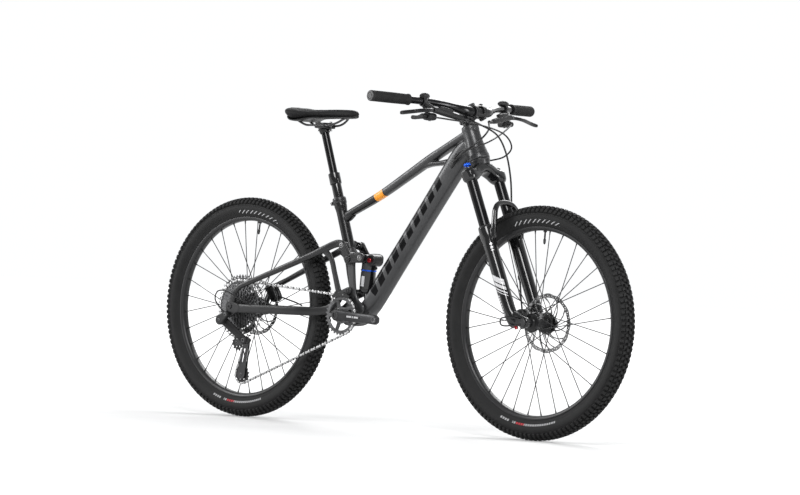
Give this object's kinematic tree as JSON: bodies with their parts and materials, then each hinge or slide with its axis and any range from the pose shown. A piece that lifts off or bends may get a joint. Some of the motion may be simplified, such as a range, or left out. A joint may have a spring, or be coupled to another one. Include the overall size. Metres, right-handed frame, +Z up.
{
  "type": "mountain bike",
  "caption": "Full-suspension mountain bike with knobbly tyres, disc brakes, a linkage-driven rear shock, a telescopic fork and a dropper seatpost.",
  "frame": {"origin": "on the ground midway between the two tyres' contact points, in the bike's middle plane", "axes": "+X forwards, +Y to the rider's left, +Z up; the drivetrain is on the -Y side"},
  "size_m": [1.898, 0.7702, 1.0222],
  "materials": {
    "graphite_paint": "satin paint with a fine metallic grain",
    "black_paint": "satin paint",
    "gloss_black": "gloss paint",
    "black_alloy": "black anodised",
    "tyre_rubber": "matt moulded rubber",
    "grip_rubber": "matt moulded rubber",
    "steel": "brushed",
    "spoke_steel": "blackened",
    "dark_steel": "black oxide",
    "chain_steel": "oiled",
    "black_plastic": "fine grain",
    "saddle_cover": "matt synthetic cover",
    "black_hose": "smooth hose",
    "blue_anodised": "blue anodised"
  },
  "bodies": {
    "frame": {"head_tube": "graphite_paint", "down_tube": "graphite_paint", "top_tube": "graphite_paint", "seat_tube": "black_paint", "seat_clamp": "black_alloy", "shock_yoke": "graphite_paint", "rocker_axle": "black_alloy", "dropper_outer": "gloss_black"},
    "seatpost": {"dropper_post": "gloss_black", "saddle_clamp": "black_alloy", "saddle_rails": "dark_steel", "saddle": "saddle_cover"},
    "rear_triangle": {"stay_right": "black_paint", "stay_left": "black_paint", "rear_axle": "black_alloy", "rear_caliper": "black_alloy", "derailleur_body": "black_plastic", "chain": "chain_steel"},
    "lower_link": {"lower_link": "black_alloy"},
    "rocker_link": {"rocker_link": "black_alloy"},
    "shock_can": {"shock_can": "gloss_black"},
    "shock_shaft": {"shock_shaft": "steel"},
    "rear_wheel": {"rear_hub": "black_alloy", "rear_spokes": "spoke_steel", "rear_rim": "black_alloy", "rear_tyre": "tyre_rubber", "rear_rotor": "steel"},
    "cassette": {"cassette": "dark_steel"},
    "derailleur_arm": {"derailleur_arm": "black_plastic"},
    "derailleur_cage": {"derailleur_cage": "black_alloy"},
    "upper_pulley": {"upper_pulley": "black_plastic"},
    "lower_pulley": {"lower_pulley": "black_plastic"},
    "crank": {"crank_right": "black_alloy", "crank_left": "black_alloy", "chainring": "dark_steel"},
    "steering": {"fork_upper": "gloss_black", "stem": "black_alloy", "stem_faceplate": "black_alloy", "handlebar": "black_alloy", "grip_right": "grip_rubber", "grip_left": "grip_rubber", "brake_clamp_right": "black_plastic", "brake_clamp_left": "black_plastic", "front_brake_hose": "black_hose", "rear_brake_hose": "black_hose", "shift_cable": "black_hose", "dropper_cable": "black_hose"},
    "brake_lever_right": {"brake_lever_right": "black_alloy"},
    "brake_lever_left": {"brake_lever_left": "black_alloy"},
    "shift_lever": {"shift_lever": "black_plastic"},
    "dropper_lever": {"dropper_lever": "black_plastic"},
    "fork_lowers": {"fork_lowers": "gloss_black", "front_axle": "black_alloy", "front_caliper": "black_alloy"},
    "compression_knob": {"compression_knob": "blue_anodised"},
    "front_wheel": {"front_hub": "black_alloy", "front_spokes": "spoke_steel", "front_rim": "black_alloy", "front_tyre": "tyre_rubber", "front_rotor": "steel"}
  },
  "joints": [
    {"name": "seatpost_drop", "type": "slide", "parent": "frame", "child": "seatpost", "axis": [-0.3289, 0, 0.9444], "range_m": [-0.125, 0]},
    {"name": "rear_suspension", "type": "hinge", "parent": "frame", "child": "rear_triangle", "pos_m": [-0.1091, 0, 0.4293], "axis": [0, 1, 0], "range_deg": [0, 16.3], "stiffness_Nm_per_rad": 1500, "deforming": ["chain"]},
    {"name": "lower_link_pivot", "type": "hinge", "parent": "frame", "child": "lower_link", "pos_m": [-0.1299, 0, 0.4197], "axis": [0, 1, 0], "range_deg": [0, 25]},
    {"name": "rocker_pivot", "type": "hinge", "parent": "frame", "child": "rocker_link", "pos_m": [-0.1331, 0, 0.5181], "axis": [0, 1, 0], "range_deg": [0, 46.2]},
    {"name": "shock_head_pivot", "type": "hinge", "parent": "rocker_link", "child": "shock_can", "pos_m": [-0.0845, 0, 0.523], "axis": [0, 1, 0], "range_deg": [-50, 0]},
    {"name": "shock_stroke", "type": "slide", "parent": "shock_can", "child": "shock_shaft", "axis": [0.0758, 0, 0.9971], "range_m": [0, 0.0371]},
    {"name": "rear_wheel_spin", "type": "hinge", "parent": "rear_triangle", "child": "rear_wheel", "pos_m": [-0.5975, 0, 0.3515], "axis": [0, 1, 0], "continuous": true},
    {"name": "cassette_spin", "type": "hinge", "parent": "rear_triangle", "child": "cassette", "pos_m": [-0.5975, 0, 0.3515], "axis": [0, 1, 0], "continuous": true},
    {"name": "derailleur_swing", "type": "hinge", "parent": "rear_triangle", "child": "derailleur_arm", "pos_m": [-0.6275, -0.08, 0.307], "axis": [0, 0, 1], "range_deg": [-8, 0], "stiffness_Nm_per_rad": 1.5, "deforming": ["chain"]},
    {"name": "derailleur_cage_swing", "type": "hinge", "parent": "derailleur_arm", "child": "derailleur_cage", "pos_m": [-0.5535, -0.036, 0.246], "axis": [0, 1, 0], "range_deg": [-40, 0], "stiffness_Nm_per_rad": 1, "deforming": ["chain"]},
    {"name": "upper_pulley_spin", "type": "hinge", "parent": "derailleur_cage", "child": "upper_pulley", "pos_m": [-0.5975, -0.036, 0.236], "axis": [0, 1, 0], "continuous": true},
    {"name": "lower_pulley_spin", "type": "hinge", "parent": "derailleur_cage", "child": "lower_pulley", "pos_m": [-0.5745, -0.036, 0.136], "axis": [0, 1, 0], "continuous": true},
    {"name": "crank_spin", "type": "hinge", "parent": "frame", "child": "crank", "pos_m": [-0.1485, 0, 0.3425], "axis": [0, 1, 0], "continuous": true},
    {"name": "steering_turn", "type": "hinge", "parent": "frame", "child": "steering", "pos_m": [0.34382, 0, 0.82458], "axis": [-0.3987, 0, 0.9171], "range_deg": [-60, 60], "deforming": ["rear_brake_hose", "shift_cable", "dropper_cable"]},
    {"name": "brake_lever_right_pull", "type": "hinge", "parent": "steering", "child": "brake_lever_right", "pos_m": [0.3055, -0.19, 0.975], "axis": [-0.5291, 0, -0.8486], "range_deg": [0, 18], "stiffness_Nm_per_rad": 0.8},
    {"name": "brake_lever_left_pull", "type": "hinge", "parent": "steering", "child": "brake_lever_left", "pos_m": [0.3055, 0.19, 0.975], "axis": [0.5291, 0, 0.8486], "range_deg": [0, 18], "stiffness_Nm_per_rad": 0.8},
    {"name": "shift_lever_push", "type": "hinge", "parent": "steering", "child": "shift_lever", "pos_m": [0.2855, -0.206, 0.956], "axis": [0, 1, 0], "range_deg": [0, 25], "stiffness_Nm_per_rad": 0.3},
    {"name": "dropper_lever_push", "type": "hinge", "parent": "steering", "child": "dropper_lever", "pos_m": [0.2855, 0.206, 0.956], "axis": [0, 1, 0], "range_deg": [0, 25], "stiffness_Nm_per_rad": 0.3},
    {"name": "fork_travel", "type": "slide", "parent": "steering", "child": "fork_lowers", "axis": [-0.3987, 0, 0.9171], "range_m": [0, 0.14], "stiffness_N_per_m": 6000, "deforming": ["front_brake_hose"]},
    {"name": "compression_dial", "type": "hinge", "parent": "steering", "child": "compression_knob", "pos_m": [0.35179, -0.065, 0.80624], "axis": [-0.3987, 0, 0.9171], "range_deg": [0, 120]},
    {"name": "front_wheel_spin", "type": "hinge", "parent": "fork_lowers", "child": "front_wheel", "pos_m": [0.5975, 0, 0.3515], "axis": [0, 1, 0], "continuous": true}
  ],
  "couplings": [
    {"joint": "lower_link_pivot", "follows": "rear_suspension", "ratio": 1.5274},
    {"joint": "rocker_pivot", "follows": "rear_suspension", "ratio": 2.8258},
    {"joint": "shock_head_pivot", "follows": "rear_suspension", "ratio": -3.061},
    {"joint": "shock_stroke", "follows": "rear_suspension", "m_per_rad": 0.1299},
    {"joint": "cassette_spin", "follows": "crank_spin", "ratio": 0.71429},
    {"joint": "upper_pulley_spin", "follows": "crank_spin", "ratio": -2.5},
    {"joint": "lower_pulley_spin", "follows": "crank_spin", "ratio": 2.1429}
  ]
}
